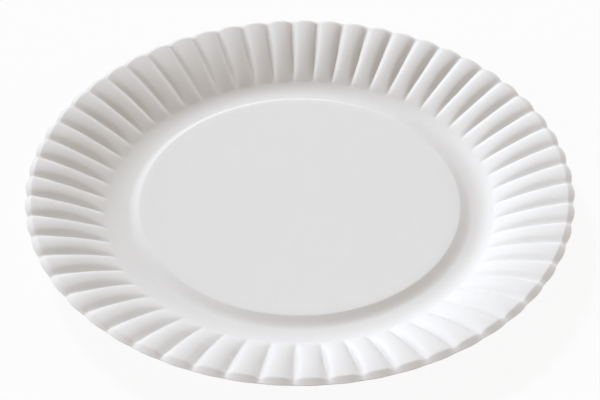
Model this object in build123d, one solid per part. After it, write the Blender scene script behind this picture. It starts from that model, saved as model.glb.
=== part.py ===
from build123d import *
import math
import os

# The plate is one sheet of board, pressed in a die. All lengths are in millimetres.
# Heights are of the upper face, over the table that the underside of the foot rests on.

# Sheet
board_thickness = 0.45
plate_diameter = 229.0

# Centre: a flat plateau with a crisp edge, a step that eases down to the narrow flat foot that the
# plate rests on, and a moat that climbs more and more steeply from the foot to the crease
plateau_radius = 68.7
step_width = 6.1
step_height = 2.15
foot_width = 1.0
moat_width = 6.9
moat_rise = 2.45

# Rim: flutes from the crease to the lip, each a broad crest between two sharp grooves.
# An arch is how far the middle of the flute stands over its straight chord.
flute_count = 57
rim_rise = 13.2
rim_arch = 0.8
crest_height = 1.8
crest_arch = 1.4

# Lip: a narrow border that slopes down and out, and draws in at each groove
lip_width_at_crest = 2.3
lip_width_at_groove = 2.0
lip_drop_at_crest = 1.5
lip_drop_at_groove = 0.35
scallop_depth = 0.8

# The step's rounding, as shares of its width and of its height
step_shares = ((0, 0), (0.35, 0.52), (0.65, 0.86), (1, 1))

# Where the moat's runs meet, from the foot at 0 to the crease at 1
moat_shares = (0, 0.4, 0.7, 1)

# Where the cross curves of a flute stand, from the crease at 0 to the lip at 1
station_shares = (0, 0.1, 0.25, 0.6, 1)

plate_radius = plate_diameter / 2
foot_radius = plateau_radius + step_width
moat_radius = foot_radius + foot_width
crease_radius = moat_radius + moat_width
plateau_height = board_thickness + step_height
crease_height = board_thickness + moat_rise
moat_slope = math.atan2(2 * moat_rise, moat_width)
flute_angle = 360 / flute_count


def between(start, end, share):
    """Value that lies a share of the way from start to end."""
    return start + (end - start) * share


def sunk(radius, height, slope, depth):
    """Point of the radial section, a depth below the upper face and square to its slope."""
    return Vector(radius + depth * math.sin(slope), 0, height - depth * math.cos(slope))


def step_lines(depth):
    """Straight runs that round the step down from the plateau to the foot."""
    points = []
    for width_share, drop_share in step_shares:
        radius = plateau_radius + step_width * width_share
        height = plateau_height - step_height * drop_share
        points.append(Vector(radius, 0, height - depth))
    return [Line(start, end) for start, end in zip(points, points[1:])]


def moat_lines(depth):
    """Level foot, and the runs that climb from it to the crease, each steeper than the last."""
    points = [sunk(foot_radius, board_thickness, 0, depth)]
    for share in moat_shares:
        slope = math.atan2(2 * moat_rise * share, moat_width)
        height = board_thickness + moat_rise * share**2
        points.append(sunk(moat_radius + moat_width * share, height, slope, depth))
    return [Line(start, end) for start, end in zip(points, points[1:])]


def centre_faces(depth):
    """Step and moat over the width of one flute, turned round the axis of the plate."""
    outline = [*step_lines(depth), *moat_lines(depth)]
    first_side = [line.rotate(Axis.Z, -flute_angle / 2) for line in outline]
    return [Face.revolve(line, flute_angle, Axis.Z) for line in first_side]


def edge_radius(ridge):
    return plate_radius - scallop_depth * (1 - ridge)


def lip_radius(ridge):
    return edge_radius(ridge) - between(lip_width_at_groove, lip_width_at_crest, ridge)


def lip_drop(ridge):
    return between(lip_drop_at_groove, lip_drop_at_crest, ridge)


def lip_slope(ridge):
    return -math.atan2(lip_drop(ridge), edge_radius(ridge) - lip_radius(ridge))


def flute_point(station, ridge, depth):
    """Point of a groove, where ridge is 0, or of a crest, where it is 1."""
    run = lip_radius(ridge) - crease_radius
    rise = rim_rise + crest_height * ridge
    arch = rim_arch + crest_arch * ridge
    height = crease_height + rise * station + 4 * arch * station * (1 - station)
    slope = math.atan2(rise + 4 * arch * (1 - 2 * station), run)
    if station == 0:
        slope = moat_slope
    if station == 1:
        slope = (slope + lip_slope(ridge)) / 2
    return sunk(crease_radius + run * station, height, slope, depth)


def edge_point(ridge, depth):
    """Point of the lip's outer edge, which is cut square to the lip."""
    height = crease_height + rim_rise + crest_height * ridge - lip_drop(ridge)
    return sunk(edge_radius(ridge), height, lip_slope(ridge), depth)


def over_crest(groove, crest):
    """Curve across one flute, up from its first groove over the crest to the next groove."""
    first_groove = groove.rotate(Axis.Z, -flute_angle / 2)
    next_groove = groove.rotate(Axis.Z, flute_angle / 2)
    return Wire([ThreePointArc(first_groove, crest, next_groove)])


def flute_curves(depth):
    """Curves across one flute, from the crease to the lip and its outer edge."""
    curves = []
    for station in station_shares:
        curves.append(over_crest(flute_point(station, 0, depth), flute_point(station, 1, depth)))
    curves.append(over_crest(edge_point(0, depth), edge_point(1, depth)))
    return curves


def flute_faces():
    """Board over one flute, from the crease out over the lip and back beneath."""
    curves = flute_curves(0) + flute_curves(board_thickness)[::-1]
    return Shell.make_loft(curves, ruled=True).faces()


def plateau_face(depth):
    return Face(Wire.make_circle(plateau_radius, Plane.XY.offset(plateau_height - depth)))


def plate():
    """Whole board, closed from the plateau's two faces and a turn of one flute's faces."""
    one_flute = [*centre_faces(0), *centre_faces(board_thickness), *flute_faces()]
    faces = [plateau_face(0), plateau_face(board_thickness)]
    for number in range(flute_count):
        faces += [face.rotate(Axis.Z, flute_angle * number) for face in one_flute]
    return Solid(Shell(faces)).clean()


os.makedirs("parts", exist_ok=True)
export_step(plate(), "parts/plate.step")
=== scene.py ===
import math

import bpy
import numpy as np
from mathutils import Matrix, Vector


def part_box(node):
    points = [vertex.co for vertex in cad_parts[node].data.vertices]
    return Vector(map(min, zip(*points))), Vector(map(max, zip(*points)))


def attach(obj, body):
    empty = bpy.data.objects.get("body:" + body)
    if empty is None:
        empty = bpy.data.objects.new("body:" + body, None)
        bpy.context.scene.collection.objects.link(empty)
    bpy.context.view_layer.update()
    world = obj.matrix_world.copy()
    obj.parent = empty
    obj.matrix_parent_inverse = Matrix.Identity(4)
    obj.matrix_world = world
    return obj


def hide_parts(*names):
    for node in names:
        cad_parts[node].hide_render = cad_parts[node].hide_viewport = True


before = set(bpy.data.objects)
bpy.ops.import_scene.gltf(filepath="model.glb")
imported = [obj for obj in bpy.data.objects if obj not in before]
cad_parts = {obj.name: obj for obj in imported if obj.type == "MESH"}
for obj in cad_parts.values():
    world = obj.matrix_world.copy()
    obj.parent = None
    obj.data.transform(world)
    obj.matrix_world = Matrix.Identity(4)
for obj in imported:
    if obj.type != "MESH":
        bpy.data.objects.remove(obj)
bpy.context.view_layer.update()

# The plate: one sheet of white paperboard, 0.45 mm thick, with no coat and no print.
# A heated die presses it in one stroke, so the plateau, the step, the moat, the flutes of the rim
# and the lip are one skin of even thickness. The edge is cut before the press, square to the sheet.
mm = 0.001
board_thickness = 0.45 * mm
plate_low, plate_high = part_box("plate")
plate_radius = plate_high.x

# The flat plateau, the step down to the narrow foot, and the moat that climbs to the crease
plateau_radius = 68.4 * mm
step_width = 5.2 * mm
step_height = 2.8 * mm
step_bend_share = 0.45
foot_width = 1.2 * mm
moat_width = 7.9 * mm
moat_rise = 2.45 * mm
moat_power = 2.25

# The flutes, from the crease to the lip. A flute is a broad crest between two sharp grooves, and
# part of its height is in the groove's walls, which reach further to each side towards the lip.
flute_count = 57
rim_rise = 13.15 * mm
rim_arch = 0.8 * mm
crest_height = 1.6 * mm
crest_arch = 1.7 * mm
crest_start_power = 0.6
crest_fullness = 2.0
groove_share = 0.4
groove_wall_power = 1.5
groove_reach_at_crease = 0.3
groove_reach_at_lip = 0.44
groove_round_share = 0.1

# The lip, a narrow border that slopes down and out
lip_width_at_crest = 2.7 * mm
lip_width_at_groove = 2.0 * mm
lip_drop = 1.25 * mm
edge_dip = 0.6 * mm
scallop_depth = 0.8 * mm

# How far the board's bends and its cut corners reach. Bends that are much sharper than the board is
# thick would fold the underside over itself.
bend_reach = 0.25 * mm
cut_corner = 0.1 * mm

# How finely the skin is drawn: columns over half a flute, how much closer together they stand at
# the groove, and rows over the step, the foot, the moat, the flute and the lip
half_flute_columns = 8
column_crowding = 1.8
step_rows, foot_rows, moat_rows, flute_rows, lip_rows = 10, 3, 9, 19, 7

# Heights that are averaged over a bend, the turns that round a cut corner, and the rings inside the
# plateau, as shares of its radius
bend_samples = 9
cut_corner_turns = [math.radians(30), math.radians(60), math.radians(90)]
plateau_ring_shares = (0.95, 0.86, 0.7, 0.45)

foot_radius = plateau_radius + step_width
moat_radius = foot_radius + foot_width
crease_radius = moat_radius + moat_width


def between(start, end, share):
    """Value that lies a share of the way from start to end."""
    return start + (end - start) * share


def ridge_at(gap, flute):
    """Share of the crest's height across a flute. Gap is 0 in a groove and 1 on a crest, here and
    below, and flute is 0 at the crease and 1 at the lip."""
    reach = between(groove_reach_at_crease, groove_reach_at_lip, flute)
    wall = 1 - np.clip(1 - gap / reach, 0, 1) ** groove_wall_power
    back = 1 - (1 - gap) ** crest_fullness
    return between(back, wall, groove_share)


def edge_radius(gap):
    """Radius of the cut edge, which draws in at each groove."""
    return plate_radius - scallop_depth * (1 - gap) ** 2


def lip_radius(gap):
    """Radius of the bend where the flute ends and the lip starts."""
    return edge_radius(gap) - between(lip_width_at_groove, lip_width_at_crest, ridge_at(gap, 1))


def lip_fall(gap):
    """Height that the lip loses from its bend to the cut edge, which dips at each groove."""
    return lip_drop + edge_dip * (1 - gap) ** 2 - crest_height * (1 - ridge_at(gap, 1))


def step_left(step):
    """Share of the step's height that is left, on a straight slope that eases out to the foot."""
    steep = 2 / (1 + step_bend_share)
    eased = steep * (1 - step) ** 2 / (2 * (1 - step_bend_share))
    return np.where(step < step_bend_share, 1 - steep * step, eased)


def die_height(radius, gap):
    """Height of the upper face over the table, with the corners of the section still sharp."""
    step = np.clip((radius - plateau_radius) / step_width, 0, 1)
    moat = np.clip((radius - moat_radius) / moat_width, 0, 1)
    flute = np.clip((radius - crease_radius) / (lip_radius(gap) - crease_radius), 0, 1)
    lip = np.maximum((radius - lip_radius(gap)) / (edge_radius(gap) - lip_radius(gap)), 0)
    crest = crest_height * flute**crest_start_power + 4 * crest_arch * flute * (1 - flute)
    return (
        board_thickness
        + step_height * step_left(step)
        + moat_rise * moat**moat_power
        + rim_rise * flute
        + 4 * rim_arch * flute * (1 - flute)
        + crest * ridge_at(gap, flute)
        - lip_fall(gap) * lip
    )


def board_height(radius, gap):
    """Height of the upper face, where the board bends round each corner of the die."""
    reach = np.linspace(-bend_reach, bend_reach, bend_samples)
    return np.mean([die_height(radius + shift, gap) for shift in reach], axis=0)


def flute_columns():
    """Angle and gap of each column of points round the plate, closer together at the grooves."""
    from_groove = (np.arange(half_flute_columns + 1) / half_flute_columns) ** column_crowding
    across = np.concatenate([from_groove - 1, 1 - from_groove[-2:0:-1]])
    half_turn = math.pi / flute_count
    flutes = np.arange(flute_count)[:, None] * 2 * half_turn
    angle = (flutes + across * half_turn).ravel()
    gap = np.hypot(1 - abs(across), groove_round_share) - groove_round_share
    gap = gap / (math.hypot(1, groove_round_share) - groove_round_share)
    return angle, np.tile(gap, flute_count)


def row_radii(gap):
    """Radius of each point of the upper face, row by row, closer together at the board's bends."""
    stretches = (
        (plateau_radius, foot_radius, step_rows),
        (foot_radius, moat_radius, foot_rows),
        (moat_radius, crease_radius, moat_rows),
        (crease_radius, lip_radius(gap), flute_rows),
        (lip_radius(gap), edge_radius(gap) - cut_corner, lip_rows),
    )
    rows = [plateau_radius - bend_reach + 0 * gap]
    for start, end, count in stretches:
        for number in range(count):
            share = (1 - math.cos(math.pi * number / count)) / 2
            rows.append(between(start, end, share) + 0 * gap)
    rows.append(edge_radius(gap) - cut_corner)
    return np.array(rows)


def unit(vectors):
    """The same directions, each one long."""
    return vectors / np.linalg.norm(vectors, axis=-1, keepdims=True)


def board_skin():
    """Rows of points: the upper face outwards, round the cut edge, and the underside inwards."""
    angle, gap = flute_columns()
    radius = row_radii(gap)
    height = board_height(radius, gap)
    upper = np.stack([radius * np.cos(angle), radius * np.sin(angle), height], axis=-1)
    outwards = unit(np.gradient(upper, axis=0))
    round_plate = unit(np.roll(upper, -1, axis=1) - np.roll(upper, 1, axis=1))
    square = unit(np.cross(outwards, round_plate))
    under = upper - board_thickness * square
    edge, out, up = upper[-1], outwards[-1], square[-1]
    corner = [
        (cut_corner * math.sin(turn), cut_corner * (1 - math.cos(turn)))
        for turn in cut_corner_turns
    ]
    cut = [edge + reach * out - drop * up for reach, drop in corner]
    cut += [edge + reach * out - (board_thickness - drop) * up for reach, drop in corner[::-1]]
    return upper, np.array(cut), under[::-1]


def plateau_faces(points, rim, is_underside):
    """Closes the flat plateau inside a rim of points. Each ring inwards has half the points of the
    ring before, and its points are added to the list."""
    faces = []
    ring = list(rim)
    for share in plateau_ring_shares:
        inner = []
        for number in range(0, len(ring), 2):
            start = Vector(points[ring[number]])
            scale = share * plateau_radius / start.xy.length
            inner.append(len(points))
            points.append((start.x * scale, start.y * scale, start.z))
        for number, corner in enumerate(inner):
            after = inner[(number + 1) % len(inner)]
            first, second, third = (ring[(2 * number + step) % len(ring)] for step in range(3))
            faces += [(corner, first, second), (corner, second, after), (after, second, third)]
        ring = inner
    middle = len(points)
    points.append((0, 0, points[rim[0]][2]))
    for number, corner in enumerate(ring):
        faces.append((middle, corner, ring[(number + 1) % len(ring)]))
    return [face[::-1] for face in faces] if is_underside else faces


def plate_mesh():
    """The closed skin. Its first material is for the pressed faces, its second for the cut edge."""
    upper, cut, under = board_skin()
    rows = np.concatenate([upper, cut, under])
    row_count, column_count = rows.shape[:2]
    points = [tuple(point) for point in rows.reshape(-1, 3)]
    faces = []
    for row in range(row_count - 1):
        for column in range(column_count):
            after = (column + 1) % column_count
            near = row * column_count
            far = near + column_count
            faces.append((near + column, far + column, far + after, near + after))
    cut_rows = range(len(upper) - 1, len(upper) + len(cut))
    finish = [1 if number // column_count in cut_rows else 0 for number in range(len(faces))]
    under_rim = (row_count - 1) * column_count
    faces += plateau_faces(points, range(column_count), is_underside=False)
    faces += plateau_faces(points, range(under_rim, under_rim + column_count), is_underside=True)
    finish += [0] * (len(faces) - len(finish))
    mesh = bpy.data.meshes.new("plate_board")
    mesh.from_pydata(points, [], faces)
    mesh.polygons.foreach_set("material_index", finish)
    mesh.polygons.foreach_set("use_smooth", [True] * len(faces))
    mesh.update()
    return mesh


def node_at(tree, kind, place, **settings):
    """Adds a shader node, with its settings, and returns it."""
    node = tree.nodes.new(kind)
    node.location = place
    for name, value in settings.items():
        setattr(node, name, value)
    return node


# The way that the fibres lie and how they are drawn out along it, the depth and the strength of the
# felt that they make, and the low gloss of the bare board
fibre_lay = math.radians(35)
fibre_stretch = (1, 0.45, 1)
felt_depth = 0.03 * mm
felt_bump = 0.25
board_gloss = 0.35


def fibre_group():
    """Paper fibres: soft clouds where the pulp lies thicker, and the fine felt of single fibres."""
    group = bpy.data.node_groups.new("paper_fibres", "ShaderNodeTree")
    face = group.interface
    for name in ("Clouds per metre", "Fibres per metre"):
        face.new_socket(name, in_out="INPUT", socket_type="NodeSocketFloat")
    for name in ("Clouds", "Felt"):
        face.new_socket(name, in_out="OUTPUT", socket_type="NodeSocketFloat")
    start = node_at(group, "NodeGroupInput", (-800, 0))
    end = node_at(group, "NodeGroupOutput", (600, 0))
    where = node_at(group, "ShaderNodeTexCoord", (-800, -250))
    along = node_at(group, "ShaderNodeMapping", (-600, -250))
    along.inputs["Rotation"].default_value = (0, 0, fibre_lay)
    along.inputs["Scale"].default_value = fibre_stretch
    clouds = node_at(group, "ShaderNodeTexNoise", (-350, 150))
    clouds.inputs["Detail"].default_value = 4
    clouds.inputs["Roughness"].default_value = 0.6
    felt = node_at(group, "ShaderNodeTexNoise", (-350, -150))
    felt.inputs["Detail"].default_value = 3
    felt.inputs["Distortion"].default_value = 0.6
    link = group.links.new
    link(where.outputs["Object"], along.inputs["Vector"])
    link(along.outputs["Vector"], clouds.inputs["Vector"])
    link(along.outputs["Vector"], felt.inputs["Vector"])
    link(start.outputs["Clouds per metre"], clouds.inputs["Scale"])
    link(start.outputs["Fibres per metre"], felt.inputs["Scale"])
    link(clouds.outputs["Fac"], end.inputs["Clouds"])
    link(felt.outputs["Fac"], end.inputs["Felt"])
    return group


def board_material(name, fibres, clouds, felt, light, shade, rough):
    """White board, with so many clouds and felt fibres to a metre. Light and shade are the colours
    that it varies between, and rough is the least and the most roughness."""
    material = bpy.data.materials.new(name)
    material.use_nodes = True
    tree = material.node_tree
    skin = tree.nodes["Principled BSDF"]
    skin.inputs["Specular IOR Level"].default_value = board_gloss
    paper = node_at(tree, "ShaderNodeGroup", (-900, 0), node_tree=fibres)
    paper.inputs["Clouds per metre"].default_value = clouds
    paper.inputs["Fibres per metre"].default_value = felt
    colour = node_at(tree, "ShaderNodeMix", (-500, 200), data_type="RGBA")
    colour.inputs["A"].default_value = (*shade, 1)
    colour.inputs["B"].default_value = (*light, 1)
    roughness = node_at(tree, "ShaderNodeMapRange", (-500, -50))
    roughness.inputs["To Min"].default_value = rough[0]
    roughness.inputs["To Max"].default_value = rough[1]
    bump = node_at(tree, "ShaderNodeBump", (-250, -250))
    bump.inputs["Strength"].default_value = felt_bump
    bump.inputs["Distance"].default_value = felt_depth
    link = tree.links.new
    link(paper.outputs["Clouds"], colour.inputs["Factor"])
    link(paper.outputs["Felt"], roughness.inputs["Value"])
    link(paper.outputs["Felt"], bump.inputs["Height"])
    link(colour.outputs["Result"], skin.inputs["Base Color"])
    link(roughness.outputs["Result"], skin.inputs["Roughness"])
    link(bump.outputs["Normal"], skin.inputs["Normal"])
    return material


fibres = fibre_group()
pressed_face = board_material(
    "pressed_board",
    fibres,
    clouds=140,
    felt=2200,
    light=(0.872, 0.872, 0.869),
    shade=(0.838, 0.838, 0.833),
    rough=(0.7, 0.85),
)
cut_edge = board_material(
    "cut_board_edge",
    fibres,
    clouds=400,
    felt=4000,
    light=(0.84, 0.838, 0.83),
    shade=(0.80, 0.795, 0.785),
    rough=(0.8, 0.95),
)
plate = bpy.data.objects.new("plate_board", plate_mesh())
bpy.context.scene.collection.objects.link(plate)
plate.data.materials.append(pressed_face)
plate.data.materials.append(cut_edge)
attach(plate, "root")
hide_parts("plate")

# The table: a broad, dull white sheet that the plate stands on. It isn't part of the plate.
# It shows as white, as in a shot for a white page, and keeps a faint part of the plate's shadow.
floor_side = 8.0
floor_gap = 0.02 * mm
table_colour = (0.88, 0.88, 0.88)
table_roughness = 0.9
shadow_share = 0.08


def seen_directly(tree, place):
    """Mask that is 1 for rays from the camera, and in mirrors and glass, and 0 for the light."""
    path = node_at(tree, "ShaderNodeLightPath", place)
    first = node_at(tree, "ShaderNodeMath", (place[0] + 200, place[1]), operation="MAXIMUM")
    both = node_at(tree, "ShaderNodeMath", (place[0] + 400, place[1]), operation="MAXIMUM")
    tree.links.new(path.outputs["Is Camera Ray"], first.inputs[0])
    tree.links.new(path.outputs["Is Glossy Ray"], first.inputs[1])
    tree.links.new(first.outputs[0], both.inputs[0])
    tree.links.new(path.outputs["Is Transmission Ray"], both.inputs[1])
    return both.outputs[0]


def table_material():
    """Dull white sheet, mixed with plain white where it is seen directly."""
    material = bpy.data.materials.new("white_table")
    material.use_nodes = True
    tree = material.node_tree
    skin = tree.nodes["Principled BSDF"]
    skin.inputs["Base Color"].default_value = (*table_colour, 1)
    skin.inputs["Roughness"].default_value = table_roughness
    skin.inputs["Specular IOR Level"].default_value = 0
    white = node_at(tree, "ShaderNodeEmission", (0, -400))
    share = node_at(tree, "ShaderNodeMath", (0, 300), operation="MULTIPLY")
    share.inputs[1].default_value = 1 - shadow_share
    mix = node_at(tree, "ShaderNodeMixShader", (350, 0))
    tree.links.new(seen_directly(tree, (-600, 300)), share.inputs[0])
    tree.links.new(share.outputs[0], mix.inputs["Fac"])
    tree.links.new(skin.outputs["BSDF"], mix.inputs[1])
    tree.links.new(white.outputs["Emission"], mix.inputs[2])
    tree.links.new(mix.outputs["Shader"], tree.nodes["Material Output"].inputs["Surface"])
    return material


bpy.ops.mesh.primitive_plane_add(size=floor_side, location=(0, 0, plate_low.z - floor_gap))
table = bpy.context.object
table.name = "white_table"
table.data.materials.append(table_material())

# The studio light: a key lamp behind the plate and a little to the left, a broad low lamp at each
# side, and a dim warm room all round. The room shows as white where it is seen directly.
lamp_colour = (0.928, 1.0, 1.109)
room_colour = (1.19, 1.0, 0.79)
room_strength = 0.27


def studio_lamp(name, azimuth, height, spread, strength):
    """A lamp far away. Its place and its spread, which is how broad it looks, are in degrees."""
    lamp = bpy.data.lights.new(name, "SUN")
    lamp.energy = strength
    lamp.angle = math.radians(spread)
    lamp.color = lamp_colour
    stand = bpy.data.objects.new(name, lamp)
    bpy.context.scene.collection.objects.link(stand)
    turn = math.radians(azimuth)
    side = Vector((math.cos(turn), math.sin(turn), math.tan(math.radians(height))))
    stand.rotation_euler = side.to_track_quat("Z", "Y").to_euler()


studio_lamp("key_lamp", azimuth=120, height=42, spread=10, strength=1.96)
studio_lamp("left_lamp", azimuth=185, height=18, spread=25, strength=1.0)
studio_lamp("right_lamp", azimuth=2, height=18, spread=25, strength=0.54)

world = bpy.data.worlds.new("studio_room")
world.use_nodes = True
bpy.context.scene.world = world
tree = world.node_tree
room = tree.nodes["Background"]
room.inputs["Color"].default_value = (*room_colour, 1)
room.inputs["Strength"].default_value = room_strength
page = node_at(tree, "ShaderNodeBackground", (0, -200))
page.inputs["Color"].default_value = (1, 1, 1, 1)
mix = node_at(tree, "ShaderNodeMixShader", (300, 0))
tree.links.new(seen_directly(tree, (-600, 300)), mix.inputs["Fac"])
tree.links.new(room.outputs["Background"], mix.inputs[1])
tree.links.new(page.outputs["Background"], mix.inputs[2])
tree.links.new(mix.outputs["Shader"], tree.nodes["World Output"].inputs["Surface"])

# The camera stands in front of the plate, about 54 cm from it and 41 degrees up, with a long lens.
# It looks a little below the point of the plate's axis at the height of the grooves' outer ends.
view_distance = 539.8 * mm
view_height = math.radians(41.02)
view_azimuth = math.radians(-90.41)
aim_height = 16.1 * mm
aim_below = math.radians(1.131)
aim_right = math.radians(0.015)
sensor_width = 36.0
frame_width = 600
lens_in_frame_dots = 1281.5

away = Vector((math.cos(view_azimuth), math.sin(view_azimuth), 0)) * math.cos(view_height)
away.z = math.sin(view_height)
camera = bpy.data.cameras.new("camera")
camera.sensor_width = sensor_width
camera.lens = sensor_width * lens_in_frame_dots / frame_width
camera_stand = bpy.data.objects.new("camera", camera)
bpy.context.scene.collection.objects.link(camera_stand)
camera_stand.location = Vector((0, 0, aim_height)) + away * view_distance
tilt = math.pi / 2 - view_height - aim_below
camera_stand.rotation_euler = (tilt, 0, view_azimuth + math.pi / 2 - aim_right)
bpy.context.scene.camera = camera_stand
bpy.context.scene.view_settings.view_transform = "Standard"
